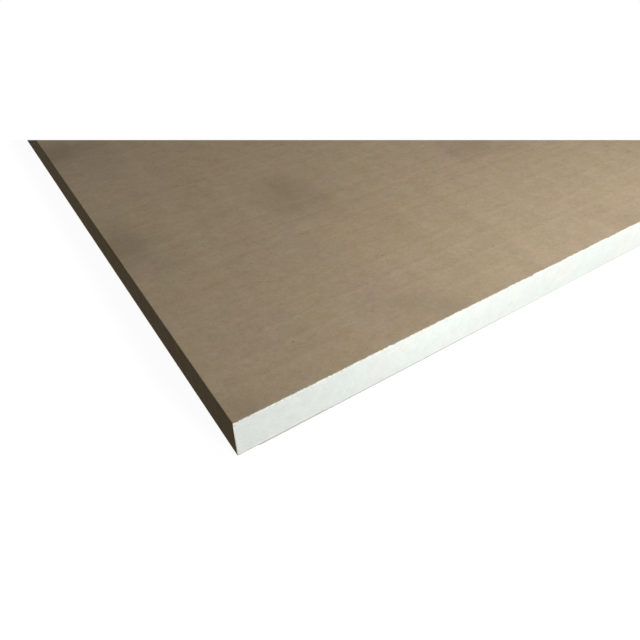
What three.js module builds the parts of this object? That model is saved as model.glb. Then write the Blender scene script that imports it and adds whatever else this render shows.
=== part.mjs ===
// A full drywall sheet: a cast gypsum core in a wrapped face paper, closed by a flat back paper.
// Millimetres. +X is the width, +Y the length, +Z up; the origin is at the bottom centre.
// The sheet lies on its back. Its long edges are paper-wrapped, its two ends are cut and bare.

import * as THREE from "three";

// The sheet
const sheetWidth = 1219.2;
const sheetLength = 2438.4;
const sheetThickness = 12.7;

// The papers
const facePaper = 0.4;
const backPaper = 0.4;
const arrisRadius = 0.6; // outside radius where the face paper turns round a long edge
const lapWidth = 25; // how far the face paper is folded under, measured in from the long edge
const backSetIn = 6; // strip of lap left bare between the long edge and the back paper

// How finely a quarter turn of an arris is faceted
const arrisSteps = 6;

const halfWidth = sheetWidth / 2;
const lapEnd = halfWidth - lapWidth;

// One quarter turn in the sheet's cross-section, drawn about (x, z) from startAngle.
function quarterTurn(x, z, radius, startAngle) {
  const arc = new THREE.EllipseCurve(x, z, radius, radius, startAngle, startAngle + Math.PI / 2, false);
  return arc.getPoints(arrisSteps);
}

// The face paper's path round the core at a given depth below its outer surface: it starts at the
// right lap's inner end, runs out to the edge, up, across the face and down to the left lap's end.
function wrapLine(depth) {
  const radius = arrisRadius - depth;
  const x = halfWidth - arrisRadius;
  const low = backPaper + arrisRadius;
  const high = sheetThickness - arrisRadius;
  return [
    new THREE.Vector2(lapEnd, backPaper + depth),
    ...quarterTurn(x, low, radius, -Math.PI / 2),
    ...quarterTurn(x, high, radius, 0),
    ...quarterTurn(-x, high, radius, Math.PI / 2),
    ...quarterTurn(-x, low, radius, Math.PI),
    new THREE.Vector2(-lapEnd, backPaper + depth),
  ];
}

// The same points bound the core and the paper's inner side, so the two meet face to face.
const bondLine = wrapLine(facePaper);

// The core fills the wrap and drops between the laps, down to the back paper.
function coreOutline() {
  return [
    ...bondLine,
    new THREE.Vector2(-lapEnd, backPaper),
    new THREE.Vector2(lapEnd, backPaper),
  ];
}

function facePaperOutline() {
  return [...wrapLine(0), ...bondLine.slice().reverse()];
}

function backPaperOutline() {
  const edge = halfWidth - backSetIn;
  return [
    new THREE.Vector2(-edge, 0),
    new THREE.Vector2(edge, 0),
    new THREE.Vector2(edge, backPaper),
    new THREE.Vector2(-edge, backPaper),
  ];
}

// Runs a cross-section from one cut end to the other.
function alongSheet(name, outline, look) {
  const options = { depth: sheetLength, steps: 1, bevelEnabled: false };
  const geometry = new THREE.ExtrudeGeometry(new THREE.Shape(outline), options);
  geometry.translate(0, 0, -sheetLength / 2);
  geometry.rotateX(Math.PI / 2);
  const mesh = new THREE.Mesh(geometry, new THREE.MeshStandardMaterial(look));
  mesh.name = name;
  return mesh;
}

const gypsum = { color: 0xdde0da, roughness: 0.95, metalness: 0 };
const brownKraft = { color: 0x8f7f68, roughness: 0.85, metalness: 0 };
const greyKraft = { color: 0x7d756a, roughness: 0.9, metalness: 0 };

const sheet = new THREE.Group();
sheet.add(alongSheet("gypsum_core", coreOutline(), gypsum));
sheet.add(alongSheet("face_paper", facePaperOutline(), brownKraft));
sheet.add(alongSheet("back_paper", backPaperOutline(), greyKraft));

export default sheet;
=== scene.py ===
# Looks for a full drywall sheet lying on its back: brown face paper wrapped round a gypsum core,
# a greyer back paper, and two bare cut ends. Lengths are in metres; values named ...Mm are in mm.
import math

import bmesh
import bpy
from mathutils import Matrix, Vector, noise


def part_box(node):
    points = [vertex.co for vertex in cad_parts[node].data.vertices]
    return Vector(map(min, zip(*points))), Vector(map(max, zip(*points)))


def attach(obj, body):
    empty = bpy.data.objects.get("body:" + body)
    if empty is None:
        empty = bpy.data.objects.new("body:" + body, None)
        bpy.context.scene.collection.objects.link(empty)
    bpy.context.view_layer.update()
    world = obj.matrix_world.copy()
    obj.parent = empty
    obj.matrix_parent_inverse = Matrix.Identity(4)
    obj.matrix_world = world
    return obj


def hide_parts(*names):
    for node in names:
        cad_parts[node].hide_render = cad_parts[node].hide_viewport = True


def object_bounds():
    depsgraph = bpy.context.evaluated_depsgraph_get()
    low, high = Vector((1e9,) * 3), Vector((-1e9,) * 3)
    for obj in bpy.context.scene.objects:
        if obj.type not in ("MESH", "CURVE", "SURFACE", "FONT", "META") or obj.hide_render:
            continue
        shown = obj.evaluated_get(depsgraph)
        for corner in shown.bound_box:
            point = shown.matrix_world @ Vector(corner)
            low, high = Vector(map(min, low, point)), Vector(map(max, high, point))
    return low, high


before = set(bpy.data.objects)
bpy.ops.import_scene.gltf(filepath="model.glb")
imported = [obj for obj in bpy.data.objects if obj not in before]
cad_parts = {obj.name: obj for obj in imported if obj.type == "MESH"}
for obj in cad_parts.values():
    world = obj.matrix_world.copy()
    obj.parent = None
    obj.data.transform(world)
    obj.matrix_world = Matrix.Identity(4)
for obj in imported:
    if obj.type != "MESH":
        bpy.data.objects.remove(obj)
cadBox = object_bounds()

mm = 0.001
sheetLow, sheetHigh = cadBox
nearCorner = Vector((sheetLow.x, sheetLow.y, sheetHigh.z))
paperThick = sheetHigh.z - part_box("gypsum_core")[1].z
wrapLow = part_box("back_paper")[1].z  # the laps' underside, which the back paper covers
wrapMiddle = (sheetHigh.z + wrapLow) / 2
arrisRadius = 0.6 * mm  # outside radius of the wrapped long edges
white = (1.0, 1.0, 1.0, 1.0)
print("frame read: sheet", [round(side / mm, 1) for side in sheetHigh - sheetLow], "mm")


# helpers for shader nodes; a value fed to a socket is a number, a colour or another node's socket
def feed(tree, socket, value):
    if isinstance(value, bpy.types.NodeSocket):
        tree.links.new(value, socket)
    else:
        socket.default_value = value


def addNode(tree, kind, *values, **settings):
    node = tree.nodes.new(kind)
    for name, setting in settings.items():
        setattr(node, name, setting)
    for socket, value in zip(node.inputs, values):
        feed(tree, socket, value)
    return node


def calculate(tree, operation, *values):
    return addNode(tree, "ShaderNodeMath", *values, operation=operation).outputs[0]


def calculateVector(tree, operation, *values):
    return addNode(tree, "ShaderNodeVectorMath", *values, operation=operation).outputs


def times(tree, first, *others):
    for other in others:
        first = calculate(tree, "MULTIPLY", first, other)
    return first


def partsOf(tree, place):
    return addNode(tree, "ShaderNodeSeparateXYZ", place).outputs


def redOf(tree, colour):
    return addNode(tree, "ShaderNodeSeparateColor", colour).outputs[0]


def smoothRange(tree, value, low, high, toLow=0.0, toHigh=1.0):
    ends = (value, low, high, toLow, toHigh)
    return addNode(tree, "ShaderNodeMapRange", *ends, interpolation_type="SMOOTHSTEP").outputs["Result"]


def nearing(tree, value, limit, depthsMm):
    # 0 at the first depth short of the limit, and 1 at the second
    start, full = (limit - depth * mm for depth in depthsMm)
    return smoothRange(tree, value, start, full)


def mmFrom(tree, value, start):
    return calculate(tree, "DIVIDE", calculate(tree, "SUBTRACT", value, start), mm)


def mixColour(tree, factor, base, over, mode="MIX"):
    node = addNode(tree, "ShaderNodeMix", data_type="RGBA", blend_type=mode)
    feed(tree, node.inputs[0], factor)
    feed(tree, node.inputs[6], base)
    feed(tree, node.inputs[7], over)
    return node.outputs[2]


def stretched(tree, place, sizesMm, turnDegrees=0.0):
    # a place counted in a size of its own along each axis, and then turned in the sheet's plane
    turn = (0.0, 0.0, math.radians(turnDegrees))
    scale = [1.0 / (size * mm) for size in sizesMm]
    node = addNode(tree, "ShaderNodeMapping", place, (0.0,) * 3, turn, scale, vector_type="POINT")
    return node.outputs["Vector"]


def noiseOf(tree, place, detail=0.0, roughness=0.5, sizeMm=None, output="Fac"):
    # a place that is stretched already needs no size
    node = addNode(tree, "ShaderNodeTexNoise", place, noise_dimensions="3D")
    node.inputs["Scale"].default_value = 1.0 if sizeMm is None else 1.0 / (sizeMm * mm)
    node.inputs["Detail"].default_value = detail
    node.inputs["Roughness"].default_value = roughness
    return node.outputs[output]


def startGroup(name, inputs, outputs):
    # a group whose first input is a place, and whose other inputs and outputs are numbers
    tree = bpy.data.node_groups.new(name, "ShaderNodeTree")
    tree.interface.new_socket(name="Place", in_out="INPUT", socket_type="NodeSocketVector")
    for label in inputs:
        tree.interface.new_socket(name=label, in_out="INPUT", socket_type="NodeSocketFloat")
    for label in outputs:
        tree.interface.new_socket(name=label, in_out="OUTPUT", socket_type="NodeSocketFloat")
    return tree, tree.nodes.new("NodeGroupInput").outputs, tree.nodes.new("NodeGroupOutput").inputs


def useGroup(tree, group, **values):
    node = addNode(tree, "ShaderNodeGroup", node_tree=group)
    for name, value in values.items():
        feed(tree, node.inputs[name], value)
    return node.outputs


# effects that several materials share or one repeats, each a node group
fibreForm = {
    "cloudMm": (4.0, 3.4, 3.6),
    "fuzzMm": 0.55,
    "fuzzStrength": 0.14,
    "bundleMm": (2.4, 0.75, 1.2),
    "bundleTurnDegrees": 4.0,
    "bundleSpan": (0.58, 0.78),
    "bundleHeight": 0.4,
}


def makePaperFibre(form):
    # clouds of pulp at every size from a centimetre down, and short bundles of fibre lying across
    tree, given, made = startGroup("paperFibre", ["Bundles"], ["Tone", "Height"])
    cloud = noiseOf(tree, stretched(tree, given["Place"], form["cloudMm"]), detail=4.0, roughness=1.0)
    lying = stretched(tree, given["Place"], form["bundleMm"], form["bundleTurnDegrees"])
    bundle = smoothRange(tree, noiseOf(tree, lying, detail=1.0), *form["bundleSpan"])
    fuzz = noiseOf(tree, given["Place"], sizeMm=form["fuzzMm"])
    cloud = calculate(tree, "MULTIPLY_ADD", fuzz, form["fuzzStrength"], cloud)
    cloud = calculate(tree, "SUBTRACT", cloud, form["fuzzStrength"] / 2)
    tone = calculate(tree, "SUBTRACT", cloud, times(tree, bundle, given["Bundles"]))
    feed(tree, made["Tone"], tone)
    feed(tree, made["Height"], calculate(tree, "MULTIPLY_ADD", bundle, form["bundleHeight"], cloud))
    return tree


spotForm = {
    "wobbleMm": 0.4,
    "wobbleSizeMm": 0.8,
    "coreShare": 0.45,  # of the radius, at full strength
    "faintest": 0.25,
    "rarity": 3.0,  # the higher, the fewer spots come near full strength
}


def makeScatteredSpots(form):
    # small round spots, most of them faint: specks in paper, bubbles in gypsum
    tree, given, made = startGroup("scatteredSpots", ["SpacingMm", "RadiusMm"], ["Mask"])
    wobble = noiseOf(tree, given["Place"], detail=2.0, sizeMm=form["wobbleSizeMm"], output="Color")
    shift = (form["wobbleMm"] * mm,) * 3
    shaken = calculateVector(tree, "MULTIPLY_ADD", wobble, shift, given["Place"])["Vector"]
    cells = addNode(tree, "ShaderNodeTexVoronoi", voronoi_dimensions="3D", feature="F1")
    feed(tree, cells.inputs["Vector"], shaken)
    feed(tree, cells.inputs["Scale"], calculate(tree, "DIVIDE", 1.0 / mm, given["SpacingMm"]))
    radius = calculate(tree, "DIVIDE", given["RadiusMm"], given["SpacingMm"])
    spot = smoothRange(tree, cells.outputs["Distance"], radius, times(tree, radius, form["coreShare"]))
    seldom = calculate(tree, "POWER", redOf(tree, cells.outputs["Color"]), form["rarity"])
    strong = calculate(tree, "MULTIPLY_ADD", seldom, 1.0 - form["faintest"], form["faintest"])
    feed(tree, made["Mask"], times(tree, spot, strong))
    return tree


ridgeForm = {
    "driftMm": (900.0, 45.0, 90.0),
    "crestShare": 0.23,  # of the pitch, to each side of a crest
    "firstCrest": 1.7,  # turn of the belt from the near end to its first crest, in radians
    "beltStrength": 1.6,
    "patchMm": (80.0, 9.0, 40.0),
    "patchStrength": 3.6,
    "fullAt": 1.1,  # height at which a ridge has its full strength
}


def makeRollRidges(form):
    # straight faint ridges across the sheet, turning to grooves and back with the belt's own length
    tree, given, made = startGroup("rollRidges", ["PitchMm", "BeltMm"], ["Ridge"])
    fromEndMm = mmFrom(tree, partsOf(tree, given["Place"])["Y"], sheetLow.y)
    drift = noiseOf(tree, stretched(tree, given["Place"], form["driftMm"]), detail=1.0)
    phase = calculate(tree, "ADD", calculate(tree, "DIVIDE", fromEndMm, given["PitchMm"]), drift)
    offCentre = calculate(tree, "SUBTRACT", calculate(tree, "FRACT", phase), 0.5)
    crest = smoothRange(tree, calculate(tree, "ABSOLUTE", offCentre), form["crestShare"], 0.0)
    turn = times(tree, calculate(tree, "DIVIDE", fromEndMm, given["BeltMm"]), 2 * math.pi)
    belt = calculate(tree, "COSINE", calculate(tree, "SUBTRACT", turn, form["firstCrest"]))
    patch = noiseOf(tree, stretched(tree, given["Place"], form["patchMm"]), detail=2.0)
    patch = calculate(tree, "MULTIPLY_ADD", patch, form["patchStrength"], -form["patchStrength"] / 2)
    height = calculate(tree, "ADD", times(tree, belt, form["beltStrength"]), patch)
    signed = smoothRange(tree, height, -form["fullAt"], form["fullAt"], -1.0, 1.0)
    feed(tree, made["Ridge"], times(tree, crest, signed))
    return tree


markForm = {"fadedAt": 2.3, "unevenness": 0.6}  # in half sizes of the mark


def makeRubbedMark(form):
    # one soft mark with an uneven outline
    inputs = ["FromSideMm", "FromEndMm", "HalfWidthMm", "HalfLengthMm", "Uneven", "Strength"]
    tree, given, made = startGroup("rubbedMark", inputs, ["Mask"])
    parts = partsOf(tree, given["Place"])
    squares = []
    for axis, start, middle, half in (("X", sheetLow.x, "FromSideMm", "HalfWidthMm"),
                                      ("Y", sheetLow.y, "FromEndMm", "HalfLengthMm")):
        away = calculate(tree, "SUBTRACT", mmFrom(tree, parts[axis], start), given[middle])
        away = calculate(tree, "DIVIDE", away, given[half])
        squares.append(times(tree, away, away))
    reach = calculate(tree, "SQRT", calculate(tree, "ADD", *squares))
    ragged = calculate(tree, "MULTIPLY_ADD", given["Uneven"], form["unevenness"], reach)
    mark = smoothRange(tree, ragged, form["fadedAt"], 0.0)
    feed(tree, made["Mask"], times(tree, mark, given["Strength"]))
    return tree


smudgeForm = {
    "spacingMm": (70.0, 75.0, 75.0),
    "scatter": 0.75,  # 0 is a plain grid
    "halfSizesMm": (7.0, 9.0),
    "cloudMm": (11.0, 13.0, 12.0),
    "unevenness": 4.0,
    "fadedAt": 2.3,
    "rarity": 2.0,
}


def makeHandlingSmudges(form):
    # rubbed marks all over a sheet, longer along it, roughly one to each hand's breadth
    tree, given, made = startGroup("handlingSmudges", [], ["Mask", "Uneven"])
    placed = stretched(tree, given["Place"], form["spacingMm"])
    cells = addNode(tree, "ShaderNodeTexVoronoi", placed, voronoi_dimensions="2D", feature="F1")
    cells.inputs["Scale"].default_value = 1.0
    cells.inputs["Randomness"].default_value = form["scatter"]
    away = calculateVector(tree, "SUBTRACT", placed, cells.outputs["Position"])["Vector"]
    shares = [spacing / half for spacing, half in zip(form["spacingMm"], form["halfSizesMm"])]
    shaped = calculateVector(tree, "MULTIPLY", away, (*shares, 0.0))["Vector"]
    cloud = noiseOf(tree, stretched(tree, given["Place"], form["cloudMm"]), detail=3.0)
    uneven = calculate(tree, "MULTIPLY_ADD", cloud, form["unevenness"], -form["unevenness"] / 2)
    length = calculateVector(tree, "LENGTH", shaped)["Value"]
    ragged = calculate(tree, "ADD", length, uneven)
    mark = smoothRange(tree, ragged, form["fadedAt"], 0.0)
    seldom = calculate(tree, "POWER", redOf(tree, cells.outputs["Color"]), form["rarity"])
    feed(tree, made["Mask"], times(tree, mark, seldom))
    feed(tree, made["Uneven"], uneven)
    return tree


paperFibre = makePaperFibre(fibreForm)
scatteredSpots = makeScatteredSpots(spotForm)
rollRidges = makeRollRidges(ridgeForm)
rubbedMark = makeRubbedMark(markForm)
handlingSmudges = makeHandlingSmudges(smudgeForm)
print("shared effects made")


# helpers for materials
def startMaterial(name, look):
    material = bpy.data.materials.new(name)
    material.use_nodes = True
    tree = material.node_tree
    shader = tree.nodes["Principled BSDF"]
    shader.inputs["Roughness"].default_value = look["roughness"]
    shader.inputs["Specular IOR Level"].default_value = look["specular"]
    place = tree.nodes.new("ShaderNodeTexCoord").outputs["Object"]
    return material, tree, shader, place


def toned(tree, colour, value, amounts):
    # lightens and darkens a colour about its own value as a mask goes from 0 to 1, by red, green, blue
    lowest = [1.0 - amount / 2 for amount in amounts]
    level = calculateVector(tree, "MULTIPLY_ADD", value, amounts, lowest)["Vector"]
    return mixColour(tree, 1.0, colour, level, "MULTIPLY")


def bumped(tree, shader, heightMm):
    node = addNode(tree, "ShaderNodeBump")
    node.inputs["Strength"].default_value = 1.0
    node.inputs["Distance"].default_value = mm
    feed(tree, node.inputs["Height"], heightMm)
    feed(tree, shader.inputs["Normal"], node.outputs["Normal"])


def spotsOf(tree, place, spacingMm, radiusMm):
    return useGroup(tree, scatteredSpots, Place=place, SpacingMm=spacingMm, RadiusMm=radiusMm)["Mask"]


brownKraftLook = {
    "roughness": 0.85,
    "specular": 0.015,
    "paper": (0.272, 0.212, 0.1395, 1.0),
    "edgeTint": (1.0, 0.985, 0.89, 1.0),
    "faceFromMm": (1.2, 0.2),  # depths between which the edge's colour turns to the face's
    "tintMm": 34.0,
    "tintContrast": (0.15, 0.15, 0.42),
    "cloudContrast": (0.55, 0.61, 0.75),
    "bundles": 0.10,
    "streakMm": (7.0, 160.0, 7.0),
    "streakContrast": (0.13, 0.14, 0.16),
    "ridgePitchMm": 8.2,
    "beltMm": 82.0,
    # painted light and shade along the ridges, by red, green, blue
    "ridgePaintedShading": (0.012, 0.013, 0.016),
    "ridgeHeightMm": 0.08,
    "grainHeightMm": 0.035,
    "smudge": (0.145, 0.1145, 0.0775, 1.0),
    "smudgeAmount": 0.4,
    "speck": (0.075, 0.045, 0.026, 1.0),
    "speckAmount": 0.45,
    "speckSpacingMm": 3.6,
    "speckRadiusMm": 0.42,
    "dusted": (0.26, 0.245, 0.205, 1.0),
    "dustAmount": 0.5,
    "dustFromEndMm": (1.1, 0.2),
    "dustMm": 1.5,
    "dustSpan": (0.3, 0.6),
}

# hand marks about the near corner: mm from the side and from the end, half width, half length, strength
nearMarks = [
    (4, 157, 9, 10, 0.54), (12, 152, 14, 14, 0.20),
    (4, 82, 7, 9, 0.46), (12, 67, 6, 5, 0.22),
    (65, 81, 7, 9, 0.41), (69, 65, 5, 5, 0.14),
    (2, 0, 6, 6, 0.26),
    (71, 1, 7, 6, 0.28), (64, 10, 5, 6, 0.22),
    (143, 74, 8, 7, 0.30), (157, 63, 5, 5, 0.18),
    (153, 1, 6, 5, 0.18), (145, 11, 5, 5, 0.10),
]
scatteredFromMm = (170.0, 215.0)  # over this stretch from the side or end, scattered marks come in


def makeHandMarks(tree, place, parts, amount):
    # the marks set one by one about the near corner, and scattered ones over the rest of the sheet
    scattered = useGroup(tree, handlingSmudges, Place=place)
    fromSide = calculate(tree, "SUBTRACT", parts["X"], sheetLow.x)
    fromEnd = calculate(tree, "SUBTRACT", parts["Y"], sheetLow.y)
    away = calculate(tree, "MAXIMUM", fromSide, fromEnd)
    beyond = smoothRange(tree, away, *(reach * mm for reach in scatteredFromMm))
    mask = times(tree, scattered["Mask"], beyond, amount)
    for fromSideMm, fromEndMm, halfWidth, halfLength, strength in nearMarks:
        mark = {"FromSideMm": fromSideMm, "FromEndMm": fromEndMm, "HalfWidthMm": halfWidth,
                "HalfLengthMm": halfLength, "Strength": strength, "Uneven": scattered["Uneven"]}
        mask = calculate(tree, "MAXIMUM", mask, useGroup(tree, rubbedMark, Place=place, **mark)["Mask"])
    return mask


def makeCutDust(tree, place, parts, look):
    # dust from the cut greys the last of the paper
    fromMiddle = calculate(tree, "ABSOLUTE", parts["Y"])
    lastOfPaper = nearing(tree, fromMiddle, sheetHigh.y, look["dustFromEndMm"])
    patchy = smoothRange(tree, noiseOf(tree, place, sizeMm=look["dustMm"]), *look["dustSpan"])
    return times(tree, lastOfPaper, patchy, look["dustAmount"])


def makeBrownKraft(look):
    material, tree, shader, place = startMaterial("brownKraft", look)
    parts = partsOf(tree, place)
    fibre = useGroup(tree, paperFibre, Place=place, Bundles=look["bundles"])
    belt = {"PitchMm": look["ridgePitchMm"], "BeltMm": look["beltMm"]}
    ridge = useGroup(tree, rollRidges, Place=place, **belt)["Ridge"]
    tint = noiseOf(tree, place, detail=6.0, roughness=1.0, sizeMm=look["tintMm"], output="Color")
    colour = toned(tree, look["paper"], tint, look["tintContrast"])
    colour = toned(tree, colour, fibre["Tone"], look["cloudContrast"])
    streak = noiseOf(tree, stretched(tree, place, look["streakMm"]), detail=2.0)
    colour = toned(tree, colour, streak, look["streakContrast"])
    # painted light and shade: ridge crests are coloured lighter and grooves darker, on top of the ridges'
    # bump
    colour = toned(tree, colour, ridge, look["ridgePaintedShading"])
    onFace = nearing(tree, parts["Z"], sheetHigh.z, look["faceFromMm"])
    edgeTint = mixColour(tree, onFace, look["edgeTint"], white)
    colour = mixColour(tree, 1.0, colour, edgeTint, "MULTIPLY")
    smudge = makeHandMarks(tree, place, parts, look["smudgeAmount"])
    colour = mixColour(tree, times(tree, smudge, onFace), colour, look["smudge"])
    speck = spotsOf(tree, place, look["speckSpacingMm"], look["speckRadiusMm"])
    colour = mixColour(tree, times(tree, speck, look["speckAmount"], onFace), colour, look["speck"])
    colour = mixColour(tree, makeCutDust(tree, place, parts, look), colour, look["dusted"])
    feed(tree, shader.inputs["Base Color"], colour)
    height = times(tree, fibre["Height"], look["grainHeightMm"])
    bumped(tree, shader, calculate(tree, "MULTIPLY_ADD", ridge, look["ridgeHeightMm"], height))
    return material


greyKraftLook = {
    "roughness": 0.88,
    "specular": 0.03,
    "pale": (0.352, 0.327, 0.281, 1.0),
    "dark": (0.328, 0.303, 0.257, 1.0),
    "hueMm": 40.0,
    "hueSpan": (0.35, 0.65),
    "cloudContrast": (0.7, 0.72, 0.78),
    "bundles": 0.2,
    "ridgePitchMm": 11.0,
    "beltMm": 143.0,
    "ridgeHeightMm": 0.03,
    "grainHeightMm": 0.04,
    "smudge": (0.24, 0.222, 0.19, 1.0),
    "smudgeAmount": 0.4,
    "speck": (0.09, 0.075, 0.06, 1.0),
    "speckAmount": 0.7,
    "speckSpacingMm": 5.0,
    "speckRadiusMm": 0.4,
}


def makeGreyKraft(look):
    material, tree, shader, place = startMaterial("greyKraft", look)
    fibre = useGroup(tree, paperFibre, Place=place, Bundles=look["bundles"])
    belt = {"PitchMm": look["ridgePitchMm"], "BeltMm": look["beltMm"]}
    ridge = useGroup(tree, rollRidges, Place=place, **belt)["Ridge"]
    hue = smoothRange(tree, noiseOf(tree, place, detail=3.0, sizeMm=look["hueMm"]), *look["hueSpan"])
    colour = mixColour(tree, hue, look["pale"], look["dark"])
    colour = toned(tree, colour, fibre["Tone"], look["cloudContrast"])
    smudge = useGroup(tree, handlingSmudges, Place=place)["Mask"]
    colour = mixColour(tree, times(tree, smudge, look["smudgeAmount"]), colour, look["smudge"])
    speck = spotsOf(tree, place, look["speckSpacingMm"], look["speckRadiusMm"])
    colour = mixColour(tree, times(tree, speck, look["speckAmount"]), colour, look["speck"])
    feed(tree, shader.inputs["Base Color"], colour)
    height = times(tree, fibre["Height"], look["grainHeightMm"])
    bumped(tree, shader, calculate(tree, "MULTIPLY_ADD", ridge, look["ridgeHeightMm"], height))
    return material


gypsumLook = {
    "roughness": 0.95,
    "specular": 0.1,
    "cool": (0.746, 0.790, 0.747, 1.0),
    "warm": (0.762, 0.790, 0.742, 1.0),
    "hueMm": 14.0,
    "hueSpan": (0.35, 0.65),
    "cloudMm": 4.0,
    "cloudContrast": (0.36, 0.36, 0.36),
    "grainHeightMm": 0.055,
    # colour of the painted shade in the bubbles' pits
    "bubblePitShade": (0.42, 0.44, 0.40, 1.0),
    "bubbleAmount": 0.7,
    "bubbleShadeStrength": 0.8,
    "bubbleSpacingMm": 3.0,
    "bubbleRadiusMm": 0.36,
    "bubbleDepthMm": 0.07,
}


def makeGypsum(look):
    material, tree, shader, place = startMaterial("gypsum", look)
    hue = smoothRange(tree, noiseOf(tree, place, detail=3.0, sizeMm=look["hueMm"]), *look["hueSpan"])
    colour = mixColour(tree, hue, look["cool"], look["warm"])
    cloud = noiseOf(tree, place, detail=5.0, roughness=1.0, sizeMm=look["cloudMm"])
    colour = toned(tree, colour, cloud, look["cloudContrast"])
    bubblePitShade = spotsOf(tree, place, look["bubbleSpacingMm"], look["bubbleRadiusMm"])
    bubblePitShade = times(tree, bubblePitShade, look["bubbleAmount"])
    # painted shade: the bubbles' pits are darkened in colour, besides being sunk by the bump below
    colour = mixColour(tree, times(tree, bubblePitShade, look["bubbleShadeStrength"]), colour, look["bubblePitShade"])
    feed(tree, shader.inputs["Base Color"], colour)
    height = times(tree, cloud, look["grainHeightMm"])
    bumped(tree, shader, calculate(tree, "MULTIPLY_ADD", bubblePitShade, -look["bubbleDepthMm"], height))
    return material


cutPaperLook = {
    "roughness": 0.92,
    "specular": 0.1,
    "bundles": 0.2,
    "cloudContrast": (0.25, 0.25, 0.25),
    "grainHeightMm": 0.08,
    # painted shade on the torn face cut, darker against the light its upturned tufts catch, and painted
    # light on the clean cut down the long edges
    "faceTornShaded": (0.65, 0.638, 0.572, 1.0),
    "faceCleanLit": (0.86, 0.845, 0.765, 1.0),
    # darker where the paper is folded under the sheet
    "lapFoldedDarker": (0.62, 0.61, 0.555, 1.0),
    "turnMm": (0.7, 0.4),  # distances from a side or the back between which the colour turns
    "backOverLap": (0.575, 0.56, 0.51, 1.0),
    "backBesideLaps": (0.50, 0.486, 0.44, 1.0),
    "besideLapsFromMm": (18.0, 30.0),
    # painted light: the back paper's cut turns paler further in from the long edges
    "backPaintedLight": (0.70, 0.70, 0.645, 1.0),
    "paintedLightFromMm": (68.0, 118.0),
}


def faceCutColour(tree, parts, look):
    # torn along the face with painted shade, cut clean down the long edges with painted light, darker
    # where folded under
    fromMiddle = calculate(tree, "ABSOLUTE", parts["X"])
    onSide = nearing(tree, fromMiddle, sheetHigh.x, look["turnMm"])
    colour = mixColour(tree, onSide, look["faceTornShaded"], look["faceCleanLit"])
    onLap = nearing(tree, parts["Z"], wrapLow, [-depth for depth in look["turnMm"]])
    return mixColour(tree, onLap, colour, look["lapFoldedDarker"])


def backCutColour(tree, parts, look):
    # paler over the laps, darker beside them, and paler again further in, where the paleness is painted
    # light
    fromMiddle = calculate(tree, "ABSOLUTE", parts["X"])
    besideLaps = nearing(tree, fromMiddle, sheetHigh.x, look["besideLapsFromMm"])
    colour = mixColour(tree, besideLaps, look["backOverLap"], look["backBesideLaps"])
    # painted light, paler further in from the long edges
    paintedLight = nearing(tree, fromMiddle, sheetHigh.x, look["paintedLightFromMm"])
    return mixColour(tree, paintedLight, colour, look["backPaintedLight"])


def makeCutPaper(name, look, pickColour):
    # the cut thickness of a paper, paler than its rubbed outer side
    material, tree, shader, place = startMaterial(name, look)
    fibre = useGroup(tree, paperFibre, Place=place, Bundles=look["bundles"])
    colour = pickColour(tree, partsOf(tree, place), look)
    feed(tree, shader.inputs["Base Color"], toned(tree, colour, fibre["Tone"], look["cloudContrast"]))
    bumped(tree, shader, times(tree, fibre["Height"], look["grainHeightMm"]))
    return material


brownKraft = makeBrownKraft(brownKraftLook)
greyKraft = makeGreyKraft(greyKraftLook)
gypsum = makeGypsum(gypsumLook)
cutFibre = makeCutPaper("cutFibre", cutPaperLook, faceCutColour)
cutGreyFibre = makeCutPaper("cutGreyFibre", cutPaperLook, backCutColour)
print("materials made")


# a piece starts as the near cut end of its own solid, is cut finer there, and is drawn to the far end
mergeWithin = 0.001 * mm
bladeWidth = 0.0005 * mm
endBand = 0.1 * mm  # every point of a cut end is closer to it than this
endFacing = 0.9  # a face whose normal lies this much along the sheet is a cut end
cornerReach = 240 * mm  # the cut ends are shaped more finely this far in from the long edges
flatWithinDegrees = 0.5
sharpFromDegrees = 35.0


def cutEndOf(node):
    # one flat face for the near end, without the triangles' inner edges
    shape = bmesh.new()
    shape.from_mesh(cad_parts[node].data)
    bmesh.ops.remove_doubles(shape, verts=shape.verts[:], dist=mergeWithin)
    bmesh.ops.dissolve_limit(shape, angle_limit=math.radians(flatWithinDegrees),
                             verts=shape.verts[:], edges=shape.edges[:])
    rest = [face for face in shape.faces if face.normal.y > -endFacing]
    bmesh.ops.delete(shape, geom=rest, context="FACES")
    return shape


def furthest(part, direction):
    corners = [part] if isinstance(part, bmesh.types.BMVert) else part.verts
    return max(corner.co.dot(direction) for corner in corners)


def cutAt(shape, direction, places):
    # cuts in order, each time passing on only what still lies ahead of the blade
    ahead = shape.verts[:] + shape.edges[:] + shape.faces[:]
    for place in sorted(places):
        cut = bmesh.ops.bisect_plane(shape, geom=ahead, dist=bladeWidth,
                                     plane_co=direction * place, plane_no=direction)
        ahead = [part for part in cut["geom"] if furthest(part, direction) > place + mergeWithin]


def evenCuts(low, high, step):
    count = max(1, round((high - low) / step))
    return [low + (high - low) * index / count for index in range(1, count)]


def cutsAcross(low, high, look):
    # the fine cuts by one long edge are mirrored to the other
    fineCuts = evenCuts(low, low + cornerReach, look["fineStepMm"] * mm)
    middleCuts = evenCuts(low + cornerReach, high - cornerReach, look["coarseStepMm"] * mm)
    return fineCuts + [low + cornerReach] + middleCuts + [high - cornerReach] + [-cut for cut in fineCuts]


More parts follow.
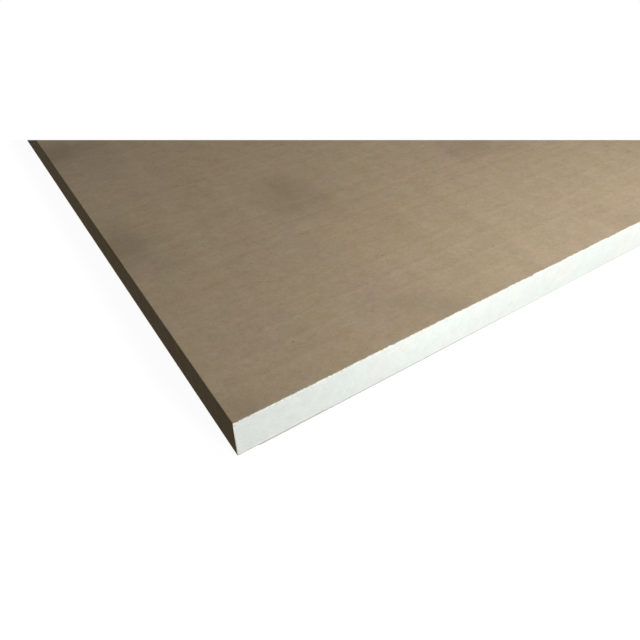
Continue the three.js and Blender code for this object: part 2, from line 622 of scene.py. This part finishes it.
def drawnAlong(shape, depthsMm):
    # draws the cut end along the sheet to the far one, with a ring of points at each depth from both
    depths = [0.0] + [depth * mm for depth in depthsMm]
    rows = [sheetLow.y + depth for depth in depths] + [sheetHigh.y - depth for depth in depths[::-1]]
    region = shape.faces[:]
    for row, nextRow in zip(rows, rows[1:]):
        drawn = bmesh.ops.extrude_face_region(shape, geom=region)["geom"]
        if row > rows[0]:  # only the first copy closes an end, and the others would wall off the inside
            bmesh.ops.delete(shape, geom=region, context="FACES")
        corners = [part for part in drawn if isinstance(part, bmesh.types.BMVert)]
        bmesh.ops.translate(shape, verts=corners, vec=(0.0, nextRow - row, 0.0))
        region = [part for part in drawn if isinstance(part, bmesh.types.BMFace)]
    bmesh.ops.recalc_face_normals(shape, faces=shape.faces[:])


def endAt(point):
    # -1 on the near cut end, 1 on the far one, and 0 between them
    return math.copysign(1.0, point.y) if sheetHigh.y - abs(point.y) < endBand else 0.0


def setEndMaterial(shape):
    for face in shape.faces:
        face.material_index = 1 if abs(face.normal.y) > endFacing else 0


def pastArrisCentre(point):
    # how far a point lies outwards and up or down from the centre of the nearest rounded arris
    outwards = abs(point.x) - (sheetHigh.x - arrisRadius)
    upwards = abs(point.z - wrapMiddle) - ((sheetHigh.z - wrapLow) / 2 - arrisRadius)
    return outwards, upwards


def depthBelowWrap(point):
    # how far a point lies inside the outer surface of the wrapped section, up to the arris's radius
    outwards, upwards = pastArrisCentre(point)
    return arrisRadius - math.hypot(max(outwards, 0.0), max(upwards, 0.0))


cornerKnocks = {
    "reachAlongMm": 3.2,
    "reachAcrossMm": 2.6,
    "reachDownMm": 2.5,
    "deepestMm": 0.03,
    "inwardShare": 0.6,
    "downwardShare": 0.8,
}


def knocked(point, look=cornerKnocks):
    # the top corners are slightly crushed: points near them sink and move in
    along = (sheetHigh.y - abs(point.y)) / (look["reachAlongMm"] * mm)
    across = (sheetHigh.x - abs(point.x)) / (look["reachAcrossMm"] * mm)
    under = (sheetHigh.z - point.z) / (look["reachDownMm"] * mm)
    depth = look["deepestMm"] * mm * math.exp(-along * along - across * across - under * under)
    inward = -math.copysign(1.0, point.x)
    return Vector((look["inwardShare"] * depth * inward, 0.0, -look["downwardShare"] * depth))


def noiseSpot(across, up, end, look):
    # a place in the noise, in mm, with a layer of it for each cut end
    return Vector((across, up, look["noiseLayerMm"] * mm * end)) / mm


def addObject(name, data):
    thing = bpy.data.objects.new(name, data)
    bpy.context.scene.collection.objects.link(thing)
    return thing


def finishPiece(name, shape, materials, node):
    mesh = bpy.data.meshes.new(name)
    shape.to_mesh(mesh)
    shape.free()
    for material in materials:
        mesh.materials.append(material)
    mesh.polygons.foreach_set("use_smooth", [True] * len(mesh.polygons))
    mesh.set_sharp_from_angle(angle=math.radians(sharpFromDegrees))
    piece = addObject(name, mesh)
    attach(piece, "root")
    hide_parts(node)
    print(name, "made,", sum(len(face.vertices) - 2 for face in mesh.polygons), "triangles")


gypsumShape = {
    "fineStepMm": 0.7,
    "coarseStepMm": 1.6,
    "layerStepMm": 0.9,
    "ringDepthsMm": (1.2, 5.0),
    "roughMm": 0.07,
    "roughPerMm": 0.3,
    "roughDetail": (0.9, 2.1, 4),  # evenness, how much finer each layer is, and how many there are
    "crumbleMm": 0.3,
    "crumbPerMm": 0.55,
    "crumbFrom": 0.25,
    "crumbRimMm": 1.2,
    "leastMm": 0.02,
    "noiseLayerMm": 7000.0,
}


def crumbledDepthMm(point, end, rim, look):
    # rough all over, and crumbled here and there along the rims under the papers
    spot = noiseSpot(point.x, point.z, end, look)
    rough = 0.5 + 0.5 * noise.fractal(spot * look["roughPerMm"], *look["roughDetail"])
    crumb = max(0.0, noise.noise(spot * look["crumbPerMm"]) - look["crumbFrom"])
    fromRim = rim / (look["crumbRimMm"] * mm)
    depth = look["roughMm"] * rough + look["crumbleMm"] * crumb * math.exp(-fromRim * fromRim)
    return max(depth, look["leastMm"])


def makeGypsumSlab(look):
    shape = cutEndOf("gypsum_core")
    coreLow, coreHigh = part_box("gypsum_core")
    cutAt(shape, Vector((0, 0, 1)), evenCuts(coreLow.z, coreHigh.z, look["layerStepMm"] * mm))
    cutAt(shape, Vector((1, 0, 0)), cutsAcross(coreLow.x, coreHigh.x, look))
    drawnAlong(shape, look["ringDepthsMm"])
    for vertex in shape.verts:
        point = vertex.co
        end = endAt(point)
        if end:
            rim = min(coreHigh.z - point.z, point.z - coreLow.z)
            point.y -= end * crumbledDepthMm(point, end, rim, look) * mm
        point += knocked(point)
    finishPiece("gypsumSlab", shape, [gypsum], "gypsum_core")


facePaperShape = {
    "fineStepMm": 0.3,
    "coarseStepMm": 0.8,
    "ringDepthsMm": (0.7, 1.5, 2.8, 5.0, 9.0),
    "creaseRadiusMm": 0.3,
    "flatMarginMm": 0.04,
    "cleanInsetMm": 0.04,
    "tornInsetMm": 0.24,
    "tornReachMm": 1.0,
    "innerShare": 0.8,  # of the outer side's inset, on the side that lies on the core
    "tuftMm": 1.0,
    "tuftNoise": ((0.3, 1.7), (1.3, 3.3)),  # strength, and waves to the mm
    "shallowest": -0.08,  # how far the paper may fall back between its tufts
    "noiseLayerMm": 3.0,
    "raggedAtSide": 0.27,
    "raggedFurtherIn": 0.85,
    "raggedOverMm": (10.0, 90.0),
}


def creased(point, look):
    # the outer paper is folded a little sharper than it was rolled: its arc is drawn out to the edge
    outwards, upwards = pastArrisCentre(point)
    if outwards <= 0 or upwards <= 0 or math.hypot(outwards, upwards) < arrisRadius - paperThick / 2:
        return Vector()
    direction = Vector((outwards, upwards)).normalized()
    out = (arrisRadius - look["creaseRadiusMm"] * mm) * (Vector((1, 1)) - direction)
    return Vector((math.copysign(out.x, point.x), 0.0, math.copysign(out.y, point.z - wrapMiddle)))


def clamped(share):
    return min(1.0, max(0.0, share))


def raggedness(point, look):
    # the knife starts cleanly from the side, and tears the paper more further in
    start, full = look["raggedOverMm"]
    share = clamped(((sheetHigh.x - abs(point.x)) / mm - start) / (full - start))
    return look["raggedAtSide"] + (look["raggedFurtherIn"] - look["raggedAtSide"]) * share


def tornInsetMm(point, end, look):
    # how far the torn paper stands back from the end between its tufts
    spot = noiseSpot(point.x, point.z, end, look)
    tuft = sum(strength * noise.noise(spot * perMm) for strength, perMm in look["tuftNoise"])
    tuft = raggedness(point, look) * max(look["shallowest"], tuft)
    share = 1.0 if depthBelowWrap(point) < paperThick / 2 else look["innerShare"]
    return max(0.0, look["tornInsetMm"] - look["tuftMm"] * tuft) * share


def makeFacePaper(look):
    shape = cutEndOf("face_paper")
    turnStart = arrisRadius + look["flatMarginMm"] * mm  # cuts here keep the flats' shading flat
    flatEnd = sheetHigh.x - turnStart
    across = cutsAcross(sheetLow.x, sheetHigh.x, look)
    cutAt(shape, Vector((1, 0, 0)), across + [-flatEnd, flatEnd])
    tornEnd = sheetHigh.z - paperThick - look["tornReachMm"] * mm
    cutAt(shape, Vector((0, 0, 1)), [wrapLow + turnStart, tornEnd, sheetHigh.z - turnStart])
    drawnAlong(shape, look["ringDepthsMm"])
    setEndMaterial(shape)
    for vertex in shape.verts:
        point = vertex.co
        end = endAt(point)
        if end:
            onFace = clamped((point.z - tornEnd) / (look["tornReachMm"] * mm))
            furtherMm = (tornInsetMm(point, end, look) - look["cleanInsetMm"]) * onFace
            point.y -= end * (look["cleanInsetMm"] + furtherMm) * mm
        point += creased(point, look) + knocked(point)
    finishPiece("facePaperWrap", shape, [brownKraft, cutFibre], "face_paper")


backPaperShape = {
    "fineStepMm": 0.4,
    "coarseStepMm": 1.0,
    "ringDepthsMm": (0.7, 2.5),
    "frayMm": 0.12,
    "frayPerMm": 1.1,
    "frayShift": 0.25,
    "noiseLayerMm": 11.0,
}


def makeBackPaper(look):
    shape = cutEndOf("back_paper")
    backLow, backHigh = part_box("back_paper")
    cutAt(shape, Vector((1, 0, 0)), cutsAcross(backLow.x, backHigh.x, look))
    drawnAlong(shape, look["ringDepthsMm"])
    setEndMaterial(shape)
    for vertex in shape.verts:
        point = vertex.co
        end = endAt(point)
        if end:
            spot = Vector((point.x, look["noiseLayerMm"] * mm * end, 0.0)) / mm
            fray = max(0.0, look["frayShift"] + noise.noise(spot * look["frayPerMm"]))
            point.y -= end * look["frayMm"] * fray * mm
    finishPiece("backPaperSheet", shape, [greyKraft, cutGreyFibre], "back_paper")


makeGypsumSlab(gypsumShape)
makeFacePaper(facePaperShape)
makeBackPaper(backPaperShape)


# helpers for what stands round the sheet
def showsWhite(tree):
    # true for what looks straight at the background: camera, mirror and see-through rays
    path = tree.nodes.new("ShaderNodeLightPath").outputs
    either = calculate(tree, "MAXIMUM", path["Is Camera Ray"], path["Is Glossy Ray"])
    return calculate(tree, "MAXIMUM", either, path["Is Transmission Ray"])


def startStageMaterial(name):
    material = bpy.data.materials.new(name)
    material.use_nodes = True
    material.node_tree.nodes.clear()
    return material, material.node_tree


def glow(tree, strength):
    return addNode(tree, "ShaderNodeEmission", white, strength).outputs[0]


def addFlatSheet(name, halfWidth, halfDepth, place, material):
    shape = bmesh.new()
    size = Matrix.Diagonal((halfWidth, halfDepth, 1.0, 1.0))
    bmesh.ops.create_grid(shape, x_segments=1, y_segments=1, size=1.0, matrix=place @ size)
    mesh = bpy.data.meshes.new(name)
    shape.to_mesh(mesh)
    shape.free()
    mesh.materials.append(material)
    return addObject(name, mesh)


floorLook = {
    "size": 60.0,
    "underSheetMm": 0.05,
    "whiteShare": 0.94,
    "shadowShare": 0.18,
    "seenByObject": 0.138,
}


def makeFloor(look):
    # white to the camera with a faint shadow, a plain grey to the sheet, and clear from below
    material, tree = startStageMaterial("studioFloor")
    lit = addNode(tree, "ShaderNodeBsdfDiffuse", (look["shadowShare"],) * 3 + (1.0,)).outputs[0]
    seen = addNode(tree, "ShaderNodeAddShader", glow(tree, look["whiteShare"]), lit).outputs[0]
    bounce = glow(tree, look["seenByObject"])
    above = addNode(tree, "ShaderNodeMixShader", showsWhite(tree), bounce, seen).outputs[0]
    fromBelow = addNode(tree, "ShaderNodeNewGeometry").outputs["Backfacing"]
    shadowRay = addNode(tree, "ShaderNodeLightPath").outputs["Is Shadow Ray"]
    clear = addNode(tree, "ShaderNodeBsdfTransparent").outputs[0]
    clearTo = calculate(tree, "MAXIMUM", fromBelow, shadowRay)
    whole = addNode(tree, "ShaderNodeMixShader", clearTo, above, clear).outputs[0]
    addNode(tree, "ShaderNodeOutputMaterial", whole)
    place = Matrix.Translation((0.0, 0.0, -look["underSheetMm"] * mm))
    floor = addFlatSheet("floor", look["size"] / 2, look["size"] / 2, place, material)


worldLook = {"ambient": 0.137}


def makeWorld(look):
    world = bpy.data.worlds.new("studio")
    world.use_nodes = True
    tree = world.node_tree
    background = tree.nodes["Background"]
    background.inputs["Color"].default_value = white
    strength = smoothRange(tree, showsWhite(tree), 0.0, 1.0, look["ambient"], 1.0)
    feed(tree, background.inputs["Strength"], strength)
    bpy.context.scene.world = world


# a level of 1 on a surface facing the lamp renders a colour as it is written
lampLook = {
    "key": {"level": 0.56, "fromDegrees": (15.0, 16.0), "softDegrees": 14.0},
    "fill": {"level": 0.37, "fromDegrees": (180.0, 8.0), "softDegrees": 10.0},
    "under": {"level": 0.4, "softDegrees": 5.0},
    "overhead": {"level": 1.15, "at": (0.0, 0.4, 1.0), "size": (0.5, 1.5)},
    "near": {"watts": 1.70, "fromCornerMm": (160.0, -66.0, 152.0), "sizeMm": 40.0},
    "front": {"watts": 0.019, "fromCornerMm": (63.0, -41.0, 16.0), "sizeMm": 14.0},
}


def addLamp(name, light, energy, place):
    light.energy = energy
    lamp = addObject(name, light)
    lamp.location = place
    lamp.visible_camera = False
    return lamp


def addSun(name, look):
    # fromDegrees: compass turn from -Y towards +X, and height above the horizon
    light = bpy.data.lights.new(name, "SUN")
    light.angle = math.radians(look["softDegrees"])
    turn, height = (math.radians(angle) for angle in look["fromDegrees"])
    flat = math.cos(height)
    towards = Vector((math.sin(turn) * flat, -math.cos(turn) * flat, math.sin(height)))
    lamp = addLamp(name, light, look["level"] * math.pi, towards)
    lamp.rotation_euler = towards.to_track_quat("Z", "Y").to_euler()


def addUnderSun(look):
    # comes up through the floor to the back paper
    light = bpy.data.lights.new("underSun", "SUN")
    light.angle = math.radians(look["softDegrees"])
    lamp = addLamp("underSun", light, look["level"] * math.pi, (0.0, 0.0, -1.0))
    lamp.rotation_euler = (math.pi, 0.0, 0.0)


def addOverhead(look):
    # lights the whole sheet from above
    light = bpy.data.lights.new("overheadSoftbox", "AREA")
    light.shape = "RECTANGLE"
    light.size, light.size_y = look["size"]
    height = look["at"][2]
    addLamp("overheadSoftbox", light, look["level"] * (math.pi * height) ** 2, look["at"])


def addCornerLamp(name, look):
    light = bpy.data.lights.new(name, "POINT")
    light.shadow_soft_size = look["sizeMm"] * mm
    addLamp(name, light, look["watts"], nearCorner + Vector(look["fromCornerMm"]) * mm)


def addLamps(look):
    addSun("keySun", look["key"])
    addSun("fillSun", look["fill"])
    addUnderSun(look["under"])
    addOverhead(look["overhead"])
    addCornerLamp("nearLamp", look["near"])  # above the near corner
    addCornerLamp("frontLamp", look["front"])  # low in front of it


cameraLook = {
    "fromCornerMm": (-30.34, -82.04, 110.12),
    "azimuth": -33.583,
    "lookDown": 42.32,
    "lensMm": 33.51,
    "sensorMm": 36.0,
    "clipMm": 1.0,
}


def makeCamera(look):
    turn, down = math.radians(look["azimuth"]), math.radians(look["lookDown"])
    flat = math.cos(down)
    forward = Vector((-math.sin(turn) * flat, math.cos(turn) * flat, -math.sin(down)))
    camera = addObject("camera", bpy.data.cameras.new("camera"))
    camera.data.lens = look["lensMm"]
    camera.data.sensor_width = look["sensorMm"]
    camera.data.clip_start = look["clipMm"] * mm
    camera.location = nearCorner + Vector(look["fromCornerMm"]) * mm
    camera.rotation_euler = forward.to_track_quat("-Z", "Y").to_euler()
    bpy.context.scene.camera = camera
    return camera


flagLook = {"aheadMm": 2.0, "frameRows": 640, "openRows": 500, "overlap": 1.1}


def makeLensFlag(look, camera):
    # a small white flag just ahead of the lens, which only the camera sees, crops the top of the frame
    material, tree = startStageMaterial("flagWhite")
    addNode(tree, "ShaderNodeOutputMaterial", glow(tree, 1.0))
    ahead = look["aheadMm"] * mm
    halfFrame = ahead * camera.data.sensor_width / (2.0 * camera.data.lens)
    low = halfFrame * (2.0 * look["openRows"] / look["frameRows"] - 1.0)
    high = halfFrame * look["overlap"]
    place = camera.matrix_basis @ Matrix.Translation((0.0, (low + high) / 2, -ahead))
    flag = addFlatSheet("lensFlag", high, (high - low) / 2, place, material)
    for ray in ("diffuse", "glossy", "transmission", "volume_scatter", "shadow"):
        setattr(flag, "visible_" + ray, False)


makeFloor(floorLook)
makeWorld(worldLook)
addLamps(lampLook)
makeLensFlag(flagLook, makeCamera(cameraLook))
bpy.context.scene.view_settings.view_transform = "Standard"
print("stage, light and camera set")
